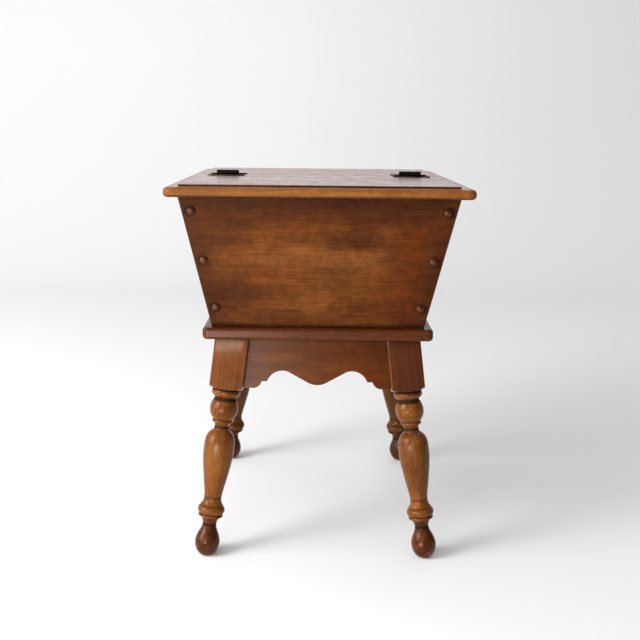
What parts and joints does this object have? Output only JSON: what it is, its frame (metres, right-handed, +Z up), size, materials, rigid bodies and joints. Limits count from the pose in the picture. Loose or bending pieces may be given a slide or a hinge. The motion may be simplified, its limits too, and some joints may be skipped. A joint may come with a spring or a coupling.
{
  "type": "sugar chest",
  "caption": "Small sugar chest: a flared wooden box with a hinged half lid and button-plugged ends, on a splayed stand with turned legs and scalloped aprons.",
  "frame": {"origin": "on the floor, at the centre of the footprint", "axes": "+Z up, the narrow front end with the lid faces -Y, +X is to the right seen from the front"},
  "size_m": [0.437, 0.524, 0.5799],
  "materials": {
    "top_wood": "dark reddish brown stain, rubbed lacquer, glossy",
    "panel_wood": "warm brown stain with darker clouding, satin lacquer",
    "base_wood": "warm brown stain, satin lacquer",
    "apron_wood": "warm brown stain, satin lacquer",
    "leg_wood": "honey brown stain, darker glaze in the grooves, semi-gloss lacquer",
    "button_wood": "reddish brown stain, satin lacquer",
    "inner_wood": "bare wood, unfinished",
    "hinge_metal": "blackened bronze, satin",
    "hinge_screw_metal": "blackened bronze, satin",
    "screw_steel": "bright zinc"
  },
  "bodies": {
    "chest": {"base_board": "base_wood", "base_board_screws": "screw_steel", "corner_block_screws": "screw_steel", "fixed_top": "top_wood", "fixed_top_cleat_left": "inner_wood", "fixed_top_cleat_rear": "inner_wood", "fixed_top_cleat_right": "inner_wood", "fixed_top_screws": "screw_steel", "front_apron": "apron_wood", "front_end_panel": "panel_wood", "front_left_corner_block": "inner_wood", "front_left_leg": "leg_wood", "front_panel_buttons": "button_wood", "front_panel_screws": "screw_steel", "front_right_corner_block": "inner_wood", "front_right_leg": "leg_wood", "hinge_fixed_screws": "hinge_screw_metal", "left_apron": "apron_wood", "left_hinge_fixed_leaf": "hinge_metal", "left_hinge_pin": "hinge_metal", "left_side_panel": "panel_wood", "rear_apron": "apron_wood", "rear_end_panel": "panel_wood", "rear_left_corner_block": "inner_wood", "rear_left_leg": "leg_wood", "rear_panel_buttons": "button_wood", "rear_panel_screws": "screw_steel", "rear_right_corner_block": "inner_wood", "rear_right_leg": "leg_wood", "right_apron": "apron_wood", "right_hinge_fixed_leaf": "hinge_metal", "right_hinge_pin": "hinge_metal", "right_side_panel": "panel_wood"},
    "lid": {"lid": "top_wood", "left_lid_batten": "inner_wood", "right_lid_batten": "inner_wood", "lid_batten_screws": "screw_steel", "hinge_lid_screws": "hinge_screw_metal", "left_hinge_lid_leaf": "hinge_metal", "right_hinge_lid_leaf": "hinge_metal"}
  },
  "joints": [
    {"name": "lid_hinge", "type": "hinge", "parent": "chest", "child": "lid", "pos_m": [0, 0.008, 0.5761], "axis": [-1, 0, 0], "range_deg": [0, 180]}
  ]
}
